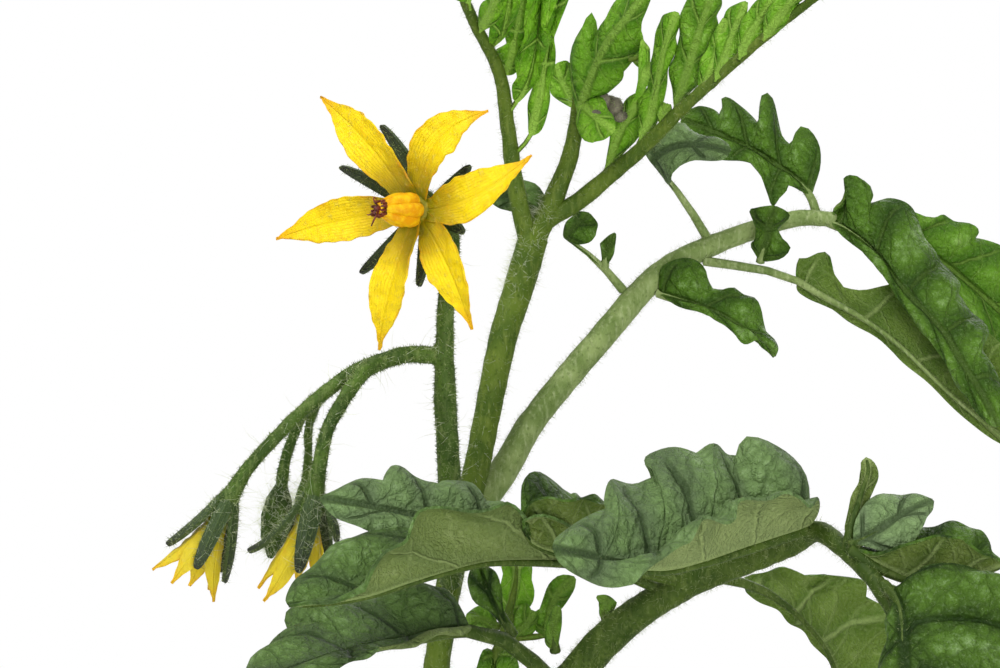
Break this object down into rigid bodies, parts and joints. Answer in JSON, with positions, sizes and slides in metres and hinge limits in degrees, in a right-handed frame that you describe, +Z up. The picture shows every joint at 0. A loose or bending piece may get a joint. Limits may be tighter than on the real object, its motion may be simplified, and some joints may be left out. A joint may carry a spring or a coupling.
{
  "type": "potted tomato plant",
  "caption": "Young tomato plant in a plain round clay pot, with lobed compound leaves, a branched flower truss and yellow star-shaped flowers.",
  "frame": {"origin": "middle of the pot's flat underside, at the height the pot stands on", "axes": "+Z up along the stem; -Y is the side the open flower and the picture's camera are on; +X is to the right seen from there"},
  "size_m": [0.2901, 0.2926, 0.3915],
  "materials": {
    "clay": "unglazed, matte, faintly mottled",
    "soil": "loose crumbs, matte",
    "stem": "soft satin with fine white hairs",
    "leaf": "quilted between the veins, soft sheen above, paler and matte below",
    "young_leaf": "thin and bright, lets light through",
    "truss": "matte, with dense white hairs",
    "petal": "soft satin with fine lengthwise veins",
    "anther": "waxy satin"
  },
  "bodies": {
    "root": {"pot": "clay", "soil": "soil", "main_stem": "stem", "leaf_lower_1": "leaf", "leaf_lower_2": "leaf", "leaf_lower_3": "leaf", "leaf_lower_4": "leaf", "leaf_lower_5": "leaf", "leaf_front": "leaf", "leaf_right": "leaf", "leaf_upper_left": "young_leaf", "leaf_upper_right": "young_leaf", "leaf_tip": "young_leaf", "side_shoot": "young_leaf", "truss": "truss", "corolla_open": "petal", "corolla_left": "petal", "corolla_right": "petal", "anther_cone": "anther"}
  },
  "joints": []
}
